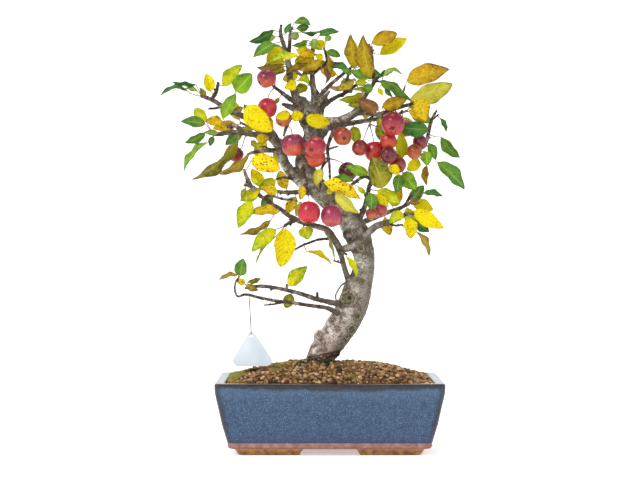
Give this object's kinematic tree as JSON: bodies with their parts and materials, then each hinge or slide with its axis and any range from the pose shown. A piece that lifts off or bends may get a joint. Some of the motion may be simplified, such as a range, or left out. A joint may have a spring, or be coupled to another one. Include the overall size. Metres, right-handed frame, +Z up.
{
  "type": "crabapple bonsai",
  "caption": "Crabapple tree in autumn leaf with small red apples, grown as a bonsai in a rectangular glazed pot with corner feet, with a blank hang tag.",
  "frame": {"origin": "middle of the base of the whole tree's box, on the surface that the pot stands on", "axes": "+X to the right and +Z up as the tree is shown, +Y away from the viewer"},
  "size_m": [0.333, 0.17, 0.467],
  "materials": {
    "glazed_stoneware": "speckled blue glaze, unglazed pink clay band at the foot",
    "netting": "moulded black netting",
    "wire": "bent round wire",
    "pumice": "coarse grit",
    "clay_granules": "fired clay granules",
    "bark": "grey living bark",
    "apple_skin": "waxy fruit skin",
    "tag_plastic": "plain white sheet",
    "twine": "thin grey thread",
    "autumn_leaf": "living twig and autumn leaf"
  },
  "bodies": {
    "root": {"apple_01": "apple_skin", "apple_02": "apple_skin", "apple_03": "apple_skin", "apple_04": "apple_skin", "apple_05": "apple_skin", "apple_06": "apple_skin", "apple_07": "apple_skin", "apple_08": "apple_skin", "apple_09": "apple_skin", "apple_10": "apple_skin", "apple_11": "apple_skin", "apple_12": "apple_skin", "apple_13": "apple_skin", "apple_14": "apple_skin", "apple_15": "apple_skin", "apple_16": "apple_skin", "apple_17": "apple_skin", "apple_18": "apple_skin", "apple_19": "apple_skin", "apple_20": "apple_skin", "apple_21": "apple_skin", "apple_22": "apple_skin", "apple_23": "apple_skin", "drain_mesh_left": "netting", "drain_mesh_right": "netting", "drain_wire_left": "wire", "drain_wire_right": "wire", "drainage_layer": "pumice", "leaf_branch_low": "autumn_leaf", "leaf_trunk_front": "autumn_leaf", "leaf_under_branch": "autumn_leaf", "pot": "glazed_stoneware", "shoot_back_crown": "autumn_leaf", "shoot_back_left": "autumn_leaf", "shoot_back_low_left": "autumn_leaf", "shoot_back_low_right": "autumn_leaf", "shoot_back_right": "autumn_leaf", "shoot_crown_left": "autumn_leaf", "shoot_crown_middle": "autumn_leaf", "shoot_diagonal": "autumn_leaf", "shoot_far_left": "autumn_leaf", "shoot_front_fork": "autumn_leaf", "shoot_front_left": "autumn_leaf", "shoot_fruit_lower": "autumn_leaf", "shoot_fruit_upper": "autumn_leaf", "shoot_hanging": "autumn_leaf", "shoot_left_low": "autumn_leaf", "shoot_left_sprig": "autumn_leaf", "shoot_left_tip": "autumn_leaf", "shoot_low_lower": "autumn_leaf", "shoot_low_upper": "autumn_leaf", "shoot_lower_right": "autumn_leaf", "shoot_right_limb": "autumn_leaf", "shoot_right_middle": "autumn_leaf", "shoot_trunk_spur": "autumn_leaf", "shoot_upper_right": "autumn_leaf", "soil": "clay_granules", "tag": "tag_plastic", "tag_string": "twine", "trunk": "bark"}
  },
  "joints": []
}
